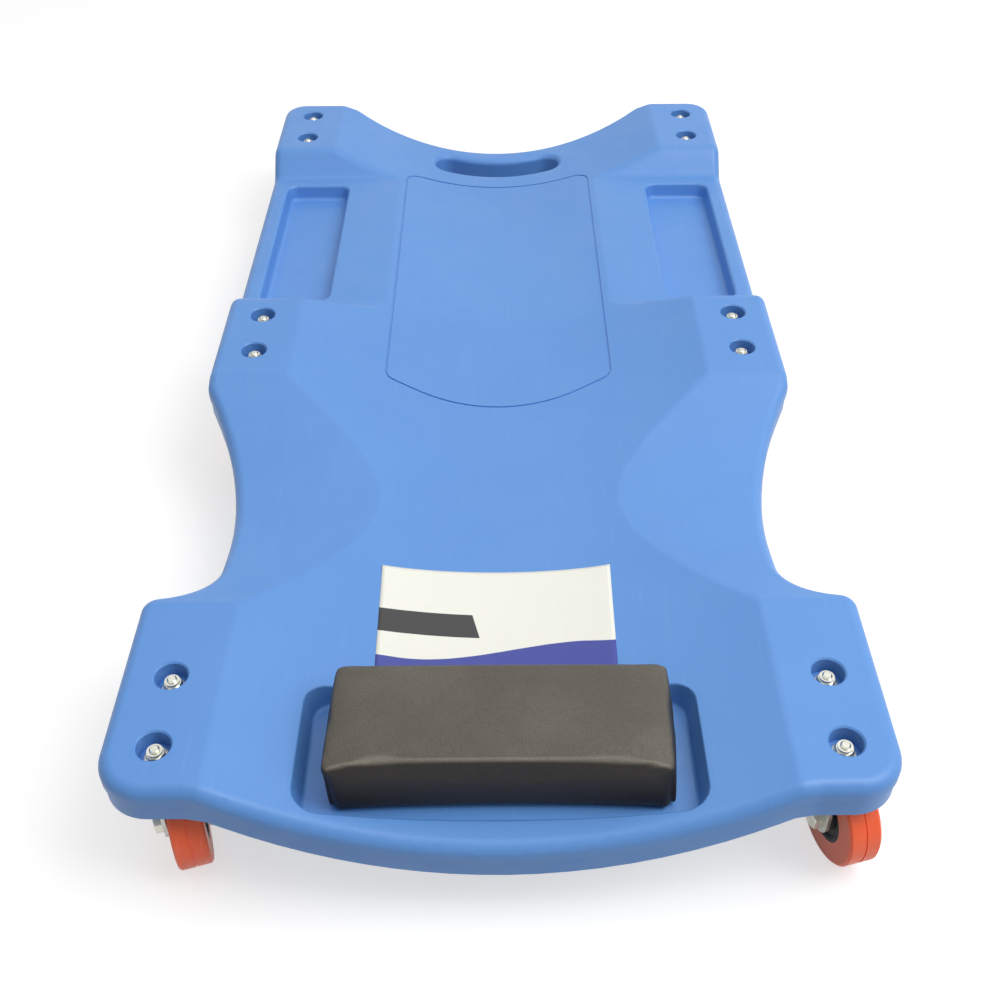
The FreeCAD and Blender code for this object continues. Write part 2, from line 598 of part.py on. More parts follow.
bearings, cups = [], []
for place, (x, y) in PLACES.items():
    turn = f"{place}_turn"
    hw, hl = "plate_width / 2", "plate_length / 2"
    holes = [drum(f"{place}_king_hole", "king_size + running_gap", PLATE_UNDER, "plate_thickness", x, y),
             drum(f"{place}_king_seat", "king_head + running_gap", f"{PLATE_TOP} - king_head_height",
                  "king_head_height", x, y)]
    for sign in "-+":
        holes.append(drum(f"{place}_bolt_hole", "bolt_shank + bolt_clearance", PLATE_UNDER,
                          "plate_thickness", x, f"{y} {sign} bolt_spacing / 2"))
    nodes[f"plate_{place}"] = cut(f"plate_{place}", prism(f"{place}_plate_blank", "XY", [
        (f"{x} - {hw}", f"{y} - {hl}", "plate_corner"), (f"{x} + {hw}", f"{y} - {hl}", "plate_corner"),
        (f"{x} + {hw}", f"{y} + {hl}", "plate_corner"), (f"{x} - {hw}", f"{y} + {hl}", "plate_corner"),
    ], PLATE_UNDER, "plate_thickness"), holes)
    nodes[f"kingpin_{place}"] = fuse(f"kingpin_{place}", [
        drum(f"{place}_king_shank", "king_size", CUP_UNDER, f"{PLATE_TOP} - {CUP_UNDER}", x, y),
        drum(f"{place}_king_head", "king_head", f"{PLATE_TOP} - king_head_height", "king_head_height", x, y),
        drum(f"{place}_clench", "clench_size", f"{CUP_UNDER} - clench_height", "clench_height", x, y)])
    bearings.append(ring(f"{place}_bearing", "race_outer", "race_inner", f"{CROWN_TOP} + race_gap",
                         "bearing_height - race_gap", x, y))
    cups.append(ring(f"{place}_cup", "cup_size", "king_size + running_gap", CUP_UNDER, "cup_height", x, y))

    channel = prism(f"{place}_channel", "XZ", mirrored([
        ("fork_half", CROWN_TOP, "fork_bend"), ("fork_half", "wheel_size - leg_end", None),
        (LEG_INNER, "wheel_size - leg_end", None),
        (LEG_INNER, CROWN_UNDER, "fork_bend - fork_sheet")]),
        "-(wheel_trail + leg_end)", "wheel_trail + leg_end + leg_front")
    flank = prism(f"{place}_flank", "YZ", [
        ("leg_front", CROWN_TOP, None),
        ("-leg_back", CROWN_TOP, None),
        ("-leg_back", f"{CROWN_TOP} - leg_shoulder", "leg_shoulder"),
        ("-(wheel_trail + leg_end)", "wheel_size + leg_end", "leg_shoulder"),
        ("-(wheel_trail + leg_end)", "wheel_size - leg_end", "0.96 * leg_end"),
        ("-(wheel_trail - leg_end)", "wheel_size - leg_end", "0.96 * leg_end"),
        ("leg_front", f"{CROWN_TOP} - leg_shoulder", "leg_shoulder"),
    ], "-fork_half", "2 * fork_half")
    fork = cut(f"fork_{place}", fuse(f"{place}_fork_blank", [
        common(f"{place}_legs", [channel, flank]),
        drum(f"{place}_crown", "crown_size", CROWN_UNDER, "fork_sheet")]), [
            drum(f"{place}_crown_hole", "king_size + running_gap", f"{CROWN_UNDER} - 1", "fork_sheet + 2"),
            cross_drum(f"{place}_leg_holes", "axle_size + running_gap", "-2 * fork_half",
                       "4 * fork_half", "-wheel_trail", "wheel_size")])
    nodes[f"fork_{place}"] = ridden(fork, place, x, y, turn)

    head = hexagon(f"{place}_axle_head", "axle_flats", "0", "axle_head_height")
    head.Placement = Placement(Vector(), Rotation(Vector(0, 1, 0), -90))
    bind(head, {"Placement.Base.x": "-fork_half"})
    nut = hexagon(f"{place}_axle_nut_blank", "axle_flats", "0", "axle_nut_height")
    nut.Placement = Placement(Vector(), Rotation(Vector(0, 1, 0), 90))
    bind(nut, {"Placement.Base.x": "fork_half"})
    shank = cross_drum(f"{place}_axle_shank", "axle_size", "-fork_half",
                       "2 * fork_half + axle_nut_height + axle_stub", "0", "0")
    bore = cross_drum(f"{place}_axle_nut_bore", "axle_size + running_gap", "fork_half",
                      "axle_nut_height", "0", "0")
    tube = cross_drum(f"{place}_tube", "sleeve_size", f"-({LEG_INNER} - running_gap)",
                      f"2 * ({LEG_INNER} - running_gap)", "0", "0")
    hole = cross_drum(f"{place}_tube_hole", "axle_size + running_gap", "-fork_half", "2 * fork_half",
                      "0", "0")
    nodes[f"axle_bolt_{place}"] = rolled(fuse(f"axle_bolt_{place}", [head, shank]), x, y, turn)
    nodes[f"axle_nut_{place}"] = rolled(cut(f"axle_nut_{place}", nut, [bore]), x, y, turn)
    nodes[f"axle_sleeve_{place}"] = rolled(cut(f"axle_sleeve_{place}", tube, [hole]), x, y, turn)

    nodes[f"wheel_core_{place}"] = rolled(spun(f"wheel_core_{place}", even([
        ("hub_half", "sleeve_size + running_gap", None), ("hub_half", "hub_size", None),
        ("tyre_width / 2 - core_dish", "hub_size + core_dish", None),
        ("tyre_width / 2 - core_dish", "tyre_bore - core_rim - core_dish", None),
        ("tyre_width / 2", "tyre_bore - core_rim", None), ("tyre_width / 2", "tyre_bore", None),
    ])), x, y, turn)
    nodes[f"tyre_{place}"] = rolled(spun(f"tyre_{place}", even([
        ("tyre_width / 2", "tyre_bore", None), ("tyre_width / 2", "wheel_size - tyre_chamfer", None),
        ("tyre_width / 2 - tyre_chamfer", "wheel_size", None), ("groove_width / 2", "wheel_size", None),
        ("groove_width / 2", "wheel_size - groove_depth", None),
    ])), x, y, turn)
group("bearing_rings", bearings)
group("race_cups", cups)

# ---------------------------------------------------------------- check and write
doc.removeObject("Trial")
doc.recompute()
for obj in doc.Objects:
    if "Invalid" in obj.State or "Error" in obj.State:
        print(f"{obj.Name} did not build: {obj.State}")
os.makedirs("parts", exist_ok=True)
for name, obj in nodes.items():
    obj.Label = name
    if obj.Shape.isNull() or not obj.Shape.isValid():
        raise RuntimeError(f"{name} has no valid shape")
    obj.Shape.exportStep(f"parts/{name}.step")
print(f"{len(nodes)} parts, deck volume {deck.Shape.Volume:.0f} mm3")
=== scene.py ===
import math

import bmesh
import bpy
from mathutils import Matrix, Vector
from mathutils.bvhtree import BVHTree


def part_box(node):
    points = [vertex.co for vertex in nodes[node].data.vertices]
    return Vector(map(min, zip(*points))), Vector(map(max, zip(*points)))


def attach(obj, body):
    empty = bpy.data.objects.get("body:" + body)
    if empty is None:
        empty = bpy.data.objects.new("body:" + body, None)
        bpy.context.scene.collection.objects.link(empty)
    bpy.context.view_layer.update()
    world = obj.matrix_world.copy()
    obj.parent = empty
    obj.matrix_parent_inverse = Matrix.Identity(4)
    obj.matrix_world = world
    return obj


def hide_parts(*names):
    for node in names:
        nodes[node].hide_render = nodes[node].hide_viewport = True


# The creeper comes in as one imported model: a moulded deck, a headrest and six swivel casters.
# What follows dresses those pieces where they already lie, from the deck down to the wheels.
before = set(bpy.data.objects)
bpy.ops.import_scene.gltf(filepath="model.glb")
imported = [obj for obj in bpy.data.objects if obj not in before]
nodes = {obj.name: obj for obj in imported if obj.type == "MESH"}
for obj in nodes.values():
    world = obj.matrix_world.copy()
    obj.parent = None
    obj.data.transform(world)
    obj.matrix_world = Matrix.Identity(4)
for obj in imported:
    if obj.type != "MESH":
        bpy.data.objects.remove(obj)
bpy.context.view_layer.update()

# ------------------------------------------------------------------------------ camera
# A standing view over the headrest end, looking down the length of the deck.
EYE = (0.0009, -0.8249, 0.6563)
LOOK_DOWN, ROLL = 41.696, -0.36

camera = bpy.data.objects.new("camera", bpy.data.cameras.new("camera"))
camera.data.lens = 44.13
camera.data.sensor_width = 36.0
camera.matrix_world = (
    Matrix.Translation(EYE)
    @ Matrix.Rotation(math.radians(90 - LOOK_DOWN), 4, "X")
    @ Matrix.Rotation(math.radians(ROLL), 4, "Z")
)
bpy.context.scene.collection.objects.link(camera)
bpy.context.scene.camera = camera
bpy.context.scene.view_settings.view_transform = "Standard"

# ------------------------------------------------------------------------------ floor and studio light
# A white floor and white walls, lit by a softbox from the right and a weak one overhead. The
# eye and every reflection see plain white, and the floor still takes the creeper's shadow.
def new_material(name):
    material = bpy.data.materials.new(name)
    material.use_nodes = True
    material.node_tree.nodes.clear()
    return material


def add(tree, kind, sockets=None, **settings):
    """One shader node. Each socket gets a number or colour, or is linked to another node's output."""
    made = tree.nodes.new("ShaderNode" + kind)
    for name, value in settings.items():
        setattr(made, name, value)
    for name, value in (sockets or {}).items():
        if isinstance(value, bpy.types.NodeSocket):
            tree.links.new(value, made.inputs[name])
        else:
            made.inputs[name].default_value = value
    return made


def seen_by_eye_or_mirror(tree):
    """1 for what the eye, a mirror or glass sees, and 0 for the light that falls on other things."""
    path = add(tree, "LightPath").outputs
    seen = add(tree, "Math", {0: path["Is Camera Ray"], 1: path["Is Glossy Ray"]}, operation="MAXIMUM")
    return add(tree, "Math", {0: seen.outputs[0], 1: path["Is Transmission Ray"]},
               operation="MAXIMUM").outputs[0]


FLOOR_SPAN = 14.0
FLOOR_GREY = 0.5
FLOOR_GLOW = 0.6
BRIGHT_SIDE = (0.6, 0.5, 0.5)
WALL_DIM, WALL_BRIGHT = 0.12, 0.62

half = FLOOR_SPAN / 2
floor_mesh = bpy.data.meshes.new("studio_floor")
floor_mesh.from_pydata(
    [(-half, -half, 0), (half, -half, 0), (half, half, 0), (-half, half, 0)], [], [(0, 1, 2, 3)])
floor = bpy.data.objects.new("studio_floor", floor_mesh)
bpy.context.scene.collection.objects.link(floor)
floor_paint = new_material("studio_floor_paint")
tree = floor_paint.node_tree
matt = add(tree, "BsdfDiffuse", {"Color": (FLOOR_GREY, FLOOR_GREY, FLOOR_GREY, 1)})
level = add(tree, "Math", {0: seen_by_eye_or_mirror(tree), 1: FLOOR_GLOW}, operation="MULTIPLY")
glow = add(tree, "Emission", {"Strength": level.outputs[0]})
both = add(tree, "AddShader", {0: matt.outputs[0], 1: glow.outputs[0]})
add(tree, "OutputMaterial", {"Surface": both.outputs[0]})
floor_mesh.materials.append(floor_paint)

walls = bpy.data.worlds.new("white_walls")
bpy.context.scene.world = walls
walls.use_nodes = True
tree = walls.node_tree
tree.nodes.clear()
towards = add(tree, "VectorMath", {0: add(tree, "TexCoord").outputs["Generated"], 1: BRIGHT_SIDE},
              operation="DOT_PRODUCT").outputs["Value"]
wash = add(tree, "MapRange", {"Value": towards, "From Min": -1.0, "To Min": WALL_DIM,
                              "To Max": WALL_BRIGHT})
level = add(tree, "MapRange", {"Value": seen_by_eye_or_mirror(tree), "To Min": wash.outputs["Result"],
                               "To Max": 1.0})
white = add(tree, "Background", {"Color": (1, 1, 1, 1), "Strength": level.outputs["Result"]})
add(tree, "OutputWorld", {"Surface": white.outputs[0]})


def softbox(name, power, width, depth, place):
    """A soft rectangular lamp that faces the middle of the floor."""
    lamp = bpy.data.lights.new(name, "AREA")
    lamp.shape = "RECTANGLE"
    lamp.energy, lamp.size, lamp.size_y = power, width, depth
    stand = bpy.data.objects.new(name, lamp)
    stand.location = place
    stand.rotation_euler = (-Vector(place)).to_track_quat("-Z", "Y").to_euler()
    bpy.context.scene.collection.objects.link(stand)


softbox("key_softbox", 29, 1.1, 1.6, (1.25, -0.55, 1.9))
softbox("overhead_softbox", 13, 2.4, 2.4, (0.1, 0.1, 2.1))


# ------------------------------------------------------------------------------ moulded deck
# One blow-moulded polyethylene shell, blue right through. The mould leaves a faint orange peel and a
# slightly cloudy colour. The facets are welded into one skin, so its long bends shade as one surface.
def node_group(name, inputs, outputs):
    """An empty shader node group with named sockets, and its two end nodes."""
    group = bpy.data.node_groups.new(name, "ShaderNodeTree")
    for socket, (kind, value) in inputs.items():
        made = group.interface.new_socket(socket, in_out="INPUT", socket_type="NodeSocket" + kind)
        if value is not None:
            made.default_value = value
    for socket, kind in outputs.items():
        group.interface.new_socket(socket, in_out="OUTPUT", socket_type="NodeSocket" + kind)
    return group, group.nodes.new("NodeGroupInput").outputs, group.nodes.new("NodeGroupOutput")


def place_group(tree, group, sockets):
    """A shader node group set down in a material, with its sockets given or linked."""
    made = tree.nodes.new("ShaderNodeGroup")
    made.node_tree = group
    for name, value in sockets.items():
        if isinstance(value, bpy.types.NodeSocket):
            tree.links.new(value, made.inputs[name])
        else:
            made.inputs[name].default_value = value
    return made.outputs


def noise(tree, where, scale, detail=2.0, rough=0.5):
    """Noise from 0 to 1, of about 1/scale metres."""
    return add(tree, "TexNoise", {"Vector": where, "Scale": scale, "Detail": detail,
                                  "Roughness": rough}).outputs["Fac"]


def ramp(tree, value, start, end, low, high):
    """low up to start, high from end, and a smooth step between them."""
    return add(tree, "MapRange", {"Value": value, "From Min": start, "From Max": end, "To Min": low,
                                  "To Max": high}, interpolation_type="SMOOTHSTEP").outputs["Result"]


def maths(tree, first, second, operation="MULTIPLY"):
    """Two values multiplied, or put together by another operation."""
    return add(tree, "Math", {0: first, 1: second}, operation=operation).outputs[0]


def colour_mix(tree, share, first, second):
    """first where share is 0, second where it is 1."""
    made = add(tree, "Mix", {0: share, 6: first, 7: second}, data_type="RGBA")
    return made.outputs[2]


def stretched(tree, where, x, y, z):
    """The same place with each direction scaled, so that noise comes out as streaks."""
    return add(tree, "Mapping", {"Vector": where, "Scale": (x, y, z)}).outputs["Vector"]


moulded_skin, given, made = node_group(
    "moulded_skin",
    {"Where": ("Vector", None), "Colour": ("Color", (0.5, 0.5, 0.5, 1)),
     "Cloud Colour": ("Color", (0.5, 0.5, 0.5, 1)), "Roughness": ("Float", 0.45),
     "Peel Depth": ("Float", 0.5), "Rub": ("Float", 0.05)},
    {"Colour": "Color", "Roughness": "Float", "Height": "Float"})
cloud = ramp(moulded_skin, noise(moulded_skin, given["Where"], 7, 4, 0.6), 0.35, 0.68, 0.0, 1.0)
speck = ramp(moulded_skin, noise(moulded_skin, given["Where"], 900, 1), 0.6, 0.8, 0.0, 0.35)
streaks = noise(moulded_skin, stretched(moulded_skin, given["Where"], 420, 16, 60), 1.0, 3)
rub = maths(moulded_skin, ramp(moulded_skin, streaks, 0.58, 0.72, 0.0, 1.0), given["Rub"])
tint = colour_mix(moulded_skin, cloud, given["Colour"], given["Cloud Colour"])
tint = colour_mix(moulded_skin, maths(moulded_skin, speck, 0.3), tint, given["Cloud Colour"])
tint = colour_mix(moulded_skin, rub, tint, (0.75, 0.8, 0.9, 1))
moulded_skin.links.new(tint, made.inputs["Colour"])
uneven = ramp(moulded_skin, noise(moulded_skin, given["Where"], 38, 3), 0.3, 0.7, -0.04, 0.05)
uneven = maths(moulded_skin, uneven, given["Roughness"], "ADD")
moulded_skin.links.new(maths(moulded_skin, uneven, rub, "ADD"), made.inputs["Roughness"])
peel = noise(moulded_skin, given["Where"], 520, 2, 0.45)
swell = noise(moulded_skin, given["Where"], 42, 2, 0.4)
height = maths(moulded_skin, maths(moulded_skin, peel, given["Peel Depth"]),
               maths(moulded_skin, swell, 1.4), "ADD")
moulded_skin.links.new(height, made.inputs["Height"])


def moulded_plastic(name, colour, cloud_colour, roughness, peel_depth, bump, rub, **shine):
    """A solid moulded plastic: its skin's colour, sheen and relief all come from moulded_skin."""
    material = new_material(name)
    tree = material.node_tree
    where = add(tree, "TexCoord").outputs["Object"]
    skin = place_group(tree, moulded_skin, {
        "Where": where, "Colour": (*colour, 1), "Cloud Colour": (*cloud_colour, 1),
        "Roughness": roughness, "Peel Depth": peel_depth, "Rub": rub})
    relief = add(tree, "Bump", {"Height": skin["Height"], "Strength": 1.0, "Distance": bump})
    body = add(tree, "BsdfPrincipled", {
        "Base Color": skin["Colour"], "Roughness": skin["Roughness"], "Normal": relief.outputs[0],
        **shine})
    add(tree, "OutputMaterial", {"Surface": body.outputs[0]})
    return material


deck_plastic = moulded_plastic(
    "blue_polyethylene", (0.103, 0.278, 0.66), (0.113, 0.294, 0.68), 0.42, 0.35, 0.00008, 0.02,
    **{"IOR": 1.5, "Specular IOR Level": 0.5})


def one_skin(name, node, body, material, crease=32):
    """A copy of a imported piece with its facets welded, smooth but for the edges sharper than crease."""
    mesh = nodes[node].data.copy()
    mesh.name = name
    mesh.materials.clear()
    mesh.materials.append(material)
    piece = bpy.data.objects.new(name, mesh)
    bpy.context.scene.collection.objects.link(piece)
    if "custom_normal" in mesh.attributes:
        mesh.attributes.remove(mesh.attributes["custom_normal"])
    facets = bmesh.new()
    facets.from_mesh(mesh)
    bmesh.ops.remove_doubles(facets, verts=facets.verts, dist=2e-6)
    bmesh.ops.dissolve_degenerate(facets, edges=facets.edges, dist=1e-6)
    for face in facets.faces:
        face.smooth = True
        face.material_index = 0
    for edge in facets.edges:
        edge.smooth = not (len(edge.link_faces) == 2
                           and edge.calc_face_angle() > math.radians(crease))
    facets.to_mesh(mesh)
    facets.free()
    weigh = piece.modifiers.new("weighted_normals", "WEIGHTED_NORMAL")
    weigh.keep_sharp = True
    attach(piece, body)
    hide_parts(node)
    return piece


deck = one_skin("deck_skin", "deck", "deck", deck_plastic)

# ------------------------------------------------------------------------------ headrest cushion
# Black-brown vinyl pulled over a foam block and a board, tucked at the corners and stapled below. One
# closed form stands for all three. Each tuck pulls its top corner down. The top face is painted lighter
# than the sides, and a painted highlight runs along the near top edge.
CUSHION_ROUND = 0.0044
CUSHION_GRID = 26
CROWN_RISE = 0.0012
NEAR_DROP, FAR_DROP = 0.0088, 0.0022
CORNER_REACH = 0.012
LEAN = Vector((-0.0028, 0.0032))  # how far the top stands over from the base
SKEW = 0.0025  # how far the far top corners have slipped sideways
SPARE = Vector((0.0019, 0.0004, -0.0004))  # how much larger the cushion is than its packed cover
WEAVE_VOXEL = 0.003
HELD_HEIGHT = 0.004
AIR_PRESSURE = 4.0
SWELL_CAP = 0.0012
TUCK_DEPTH = 0.0026
TUCK_HALF = 0.0017
TUCK_INSET, TUCK_SPREAD, TUCK_FADE_IN = 0.0018, 0.0016, 0.008
NEAR_PULL = 0.004  # how far the near face is drawn in at the foot, between its corners
EAR_REACH, EAR_HALF = 0.002, 0.006  # the small point that each near top corner stands out by
# The facing that gets the painted highlight along the cushion's near top edge.
PAINTED_HIGHLIGHT_FACING = (0.0, -0.78, 0.62)

vinyl_grain, given, made = node_group(
    "vinyl_grain",
    {"Where": ("Vector", None), "Colour": ("Color", (0.05, 0.05, 0.05, 1)),
     "Painted Sheen Colour": ("Color", (0.1, 0.1, 0.1, 1)), "Fade": ("Float", 0.5),
     "Roughness": ("Float", 0.5)},
    {"Colour": "Color", "Roughness": "Float", "Height": "Float"})
pebble = add(vinyl_grain, "TexVoronoi", {"Vector": given["Where"], "Scale": 1150, "Randomness": 1.0},
             feature="SMOOTH_F1").outputs["Distance"]
wander = noise(vinyl_grain, given["Where"], 300, 3)
grain = maths(vinyl_grain, maths(vinyl_grain, pebble, 1.2), maths(vinyl_grain, wander, 0.8), "ADD")
vinyl_grain.links.new(grain, made.inputs["Height"])
patches = ramp(vinyl_grain, noise(vinyl_grain, given["Where"], 24, 4, 0.6), 0.35, 0.7, 0.8, 1.0)
# Painted sheen: where it is high the colour goes toward a lighter painted sheen colour, in noisy patches.
painted_sheen_share = maths(vinyl_grain, patches, given["Fade"])
# Painted shade: the colour darkens in the pits of the grain, where the relief sinks.
pit_shade = ramp(vinyl_grain, pebble, 0.15, 0.5, 0.25, 0.0)
tint = colour_mix(vinyl_grain, painted_sheen_share, given["Colour"], given["Painted Sheen Colour"])
tint = colour_mix(vinyl_grain, pit_shade, tint, (0.012, 0.011, 0.01, 1))
vinyl_grain.links.new(tint, made.inputs["Colour"])
uneven = ramp(vinyl_grain, wander, 0.3, 0.7, -0.05, 0.06)
vinyl_grain.links.new(maths(vinyl_grain, uneven, given["Roughness"], "ADD"), made.inputs["Roughness"])

vinyl = new_material("brown_black_vinyl")
tree = vinyl.node_tree
where = add(tree, "TexCoord").outputs["Object"]
facing = add(tree, "TexCoord").outputs["Normal"]
upward = add(tree, "SeparateXYZ", {0: facing}).outputs[2]
# Painted sheen: the top face is painted lighter than the sides by how far it faces up, and a lighter
# painted highlight runs along the near top edge.
toward_painted_highlight = add(tree, "VectorMath", {0: facing, 1: PAINTED_HIGHLIGHT_FACING},
              operation="DOT_PRODUCT").outputs["Value"]
painted_sheen_colour = colour_mix(tree, ramp(tree, toward_painted_highlight, 0.86, 0.96, 0, 1), (0.118, 0.106, 0.085, 1),
                   (0.24, 0.22, 0.18, 1))
skin = place_group(tree, vinyl_grain, {
    "Where": where, "Colour": (0.026, 0.022, 0.019, 1), "Painted Sheen Colour": painted_sheen_colour,
    "Fade": ramp(tree, upward, 0.35, 0.85, 0, 1), "Roughness": 0.5})
relief = add(tree, "Bump", {"Height": skin["Height"], "Strength": 1.0, "Distance": 0.00012})
body = add(tree, "BsdfPrincipled", {
    "Base Color": skin["Colour"], "Roughness": skin["Roughness"], "Normal": relief.outputs[0],
    "Specular IOR Level": 0.3})
add(tree, "OutputMaterial", {"Surface": body.outputs[0]})


def cushion_form(name, low, high):
    """A crowned block with rounded edges between two corners, drawn down at its top corners."""
    form = bmesh.new()
    bmesh.ops.create_cube(form, size=2.0)
    bmesh.ops.subdivide_edges(form, edges=form.edges, cuts=CUSHION_GRID, use_grid_fill=True)
    middle, reach = (low + high) / 2, (high - low) / 2
    core = reach - Vector((CUSHION_ROUND,) * 3)
    for vert in form.verts:
        along, across, up = (math.sin(c * math.pi / 2) for c in vert.co)
        spot = Vector((along * reach.x, across * reach.y, up * reach.z))
        inner = Vector(max(-c, min(c, s)) for s, c in zip(spot, core))
        spot = inner + (spot - inner).normalized() * CUSHION_ROUND if spot != inner else spot
        height = (spot.z + reach.z) / (2 * reach.z)
        to_corner = Vector((reach.x - abs(spot.x), reach.y - abs(spot.y))).length
        drop = (NEAR_DROP if across < 0 else FAR_DROP) * math.exp(-to_corner / CORNER_REACH)
        spot.z += height * (CROWN_RISE * (1 - along ** 2) * (1 - across ** 2) - drop)
        spot.x += LEAN.x * (height - 0.5) + SKEW * height * (1 + across) / 2
        spot.y += LEAN.y * height
        if across < 0:
            spot.y += NEAR_PULL * (1 - height) * (1 - along ** 2)
        vert.co = middle + spot
    mesh = bpy.data.meshes.new(name)
    form.to_mesh(mesh)
    form.free()
    piece = bpy.data.objects.new(name, mesh)
    bpy.context.scene.collection.objects.link(piece)
    return piece


def applied(piece):
    """The piece with its modifiers worked into its mesh."""
    shape = piece.evaluated_get(bpy.context.evaluated_depsgraph_get())
    mesh = bpy.data.meshes.new_from_object(shape)
    piece.modifiers.clear()
    piece.data = mesh
    return piece


def swollen(piece, floor_level, cap):
    """Cloth under pressure, held along its underside, with each point's movement capped."""
    remesh = piece.modifiers.new("even_weave", "REMESH")
    remesh.mode, remesh.voxel_size = "VOXEL", WEAVE_VOXEL
    applied(piece)
    start = [vert.co.copy() for vert in piece.data.vertices]
    held = piece.vertex_groups.new(name="held")
    held.add([i for i, spot in enumerate(start) if spot.z < floor_level + HELD_HEIGHT], 1.0, "ADD")
    cloth = piece.modifiers.new("cloth", "CLOTH")
    cloth.settings.quality = 6
    cloth.settings.use_pressure = True
    cloth.settings.uniform_pressure_force = AIR_PRESSURE
    cloth.settings.effector_weights.gravity = 0
    cloth.settings.vertex_group_mass = held.name
    cloth.point_cache.frame_start, cloth.point_cache.frame_end = 1, 20
    for step in range(1, 21):
        bpy.context.scene.frame_set(step)
    applied(piece)
    for vert, spot in zip(piece.data.vertices, start):
        moved = vert.co - spot
        if moved.length > cap:
            vert.co = spot + moved * (cap / moved.length)
    bpy.context.scene.frame_set(1)
    piece.modifiers.new("relaxed", "SMOOTH").iterations = 1
    piece.modifiers.new("finer", "SUBSURF").levels = 1
    return applied(piece)


def tucked(piece, low, high):
    """Folds the near face beside its upright corners, and leaves a small ear at the top of each."""
    for vert in piece.data.vertices:
        side = math.copysign(1, vert.co.x)
        up = (vert.co.z - low.z) / (high.z - low.z)
        corner = Vector((side * (high.x + SPARE.x) + LEAN.x * (up - 0.5), low.y - SPARE.y + LEAN.y * up))
        inwards = Vector((-side, 1)).normalized()
        below = high.z - NEAR_DROP - vert.co.z
        fold = corner.x - side * (TUCK_INSET + TUCK_SPREAD * (1 - up))
        if vert.co.y < corner.y + 2 * CUSHION_ROUND and below > 0:
            vert.co.y += (TUCK_DEPTH * min(1.0, below / TUCK_FADE_IN)
                          * math.exp(-((vert.co.x - fold) / TUCK_HALF) ** 2))
        peak = Vector((corner.x, corner.y, high.z - NEAR_DROP))
        ear = EAR_REACH * math.exp(-((vert.co - peak).length / EAR_HALF) ** 2)
        vert.co -= Vector((inwards.x, inwards.y, 0)) * ear
    return piece


cover_low, cover_high = (Vector(corner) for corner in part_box("headrest_cover"))
cushion = cushion_form("headrest_cushion", cover_low - Vector((SPARE.x, SPARE.y, 0)), cover_high + SPARE)
swollen(cushion, cover_low.z, SWELL_CAP)
tucked(cushion, cover_low, cover_high)
cushion.data.materials.append(vinyl)
for face in cushion.data.polygons:
    face.use_smooth = True
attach(cushion, "deck")
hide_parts("headrest_cover", "headrest_foam", "headrest_board")

# ------------------------------------------------------------------------------ paper label
# A plain printed paper label stuck down the dish, running under the headrest: white stock with one
# blue band and one dark bar. It follows the moulding and lifts a little at its far corners.
LABEL_LEFT, LABEL_RIGHT = -0.079, 0.075
LABEL_FAR, LABEL_NEAR = -0.2345, -0.352
LABEL_CELLS = (56, 44)
LABEL_TAPER = 0.0016
BRIDGED_CELLS = 4  # how many cells each way the stiff paper spans at a step
CORNER_LIFT, CORNER_CURL = 0.0009, 9
PAPER = 0.00018
PRINT_EDGE = 0.0002
BAND_WAVE = ((-0.057, -0.3143), (0.048, -0.2996))  # where the band's edge starts and stops rising
BAR_NEAR, BAR_FAR, BAR_SLOPE = -0.2945, -0.2745, -0.02

label_print = new_material("printed_paper")
tree = label_print.node_tree
where = add(tree, "TexCoord").outputs["Object"]
x, y, _ = add(tree, "SeparateXYZ", {0: where}).outputs


def line_mask(tree, slope, level, upper):
    """1 on one side of the straight line y = slope x + level, with a crisp printed edge."""
    edge = maths(tree, y, maths(tree, maths(tree, x, slope), level, "ADD"), "SUBTRACT")
    return ramp(tree, edge, -PRINT_EDGE, PRINT_EDGE, *((0, 1) if upper else (1, 0)))


(wave_left, wave_low), (wave_right, wave_high) = BAND_WAVE
wave = ramp(tree, x, wave_left, wave_right, wave_low, wave_high)
ends = maths(tree, ramp(tree, x, LABEL_LEFT, wave_left, 0.001, 0.0),
             ramp(tree, x, 0.05, LABEL_RIGHT, 0.0, 0.002), "SUBTRACT")
above = maths(tree, y, maths(tree, wave, ends, "ADD"), "SUBTRACT")
band = ramp(tree, above, -PRINT_EDGE, PRINT_EDGE, 1, 0)
bar = maths(tree, line_mask(tree, BAR_SLOPE, BAR_NEAR, True), line_mask(tree, BAR_SLOPE, BAR_FAR, False))
bar = maths(tree, bar, ramp(tree, maths(tree, x, maths(tree, y, 0.25), "ADD"), -0.0865, -0.086, 1, 0))
fibre = noise(tree, where, 800, 3)
paper = colour_mix(tree, fibre, (0.79, 0.79, 0.72, 1), (0.87, 0.87, 0.79, 1))
tint = colour_mix(tree, band, paper, (0.045, 0.06, 0.32, 1))
tint = colour_mix(tree, bar, tint, (0.03, 0.03, 0.032, 1))
relief = add(tree, "Bump", {"Height": fibre, "Strength": 0.5, "Distance": 0.00003})
body = add(tree, "BsdfPrincipled", {"Base Color": tint, "Roughness": 0.5, "Normal": relief.outputs[0],
                                    "Coat Weight": 0.15, "Coat Roughness": 0.35})
add(tree, "OutputMaterial", {"Surface": body.outputs[0]})

bpy.context.view_layer.update()
deck_surface = BVHTree.FromObject(deck, bpy.context.evaluated_depsgraph_get())


def deck_level(x, y):
    return deck_surface.ray_cast(Vector((x, y, 1.0)), Vector((0, 0, -1)))[0].z


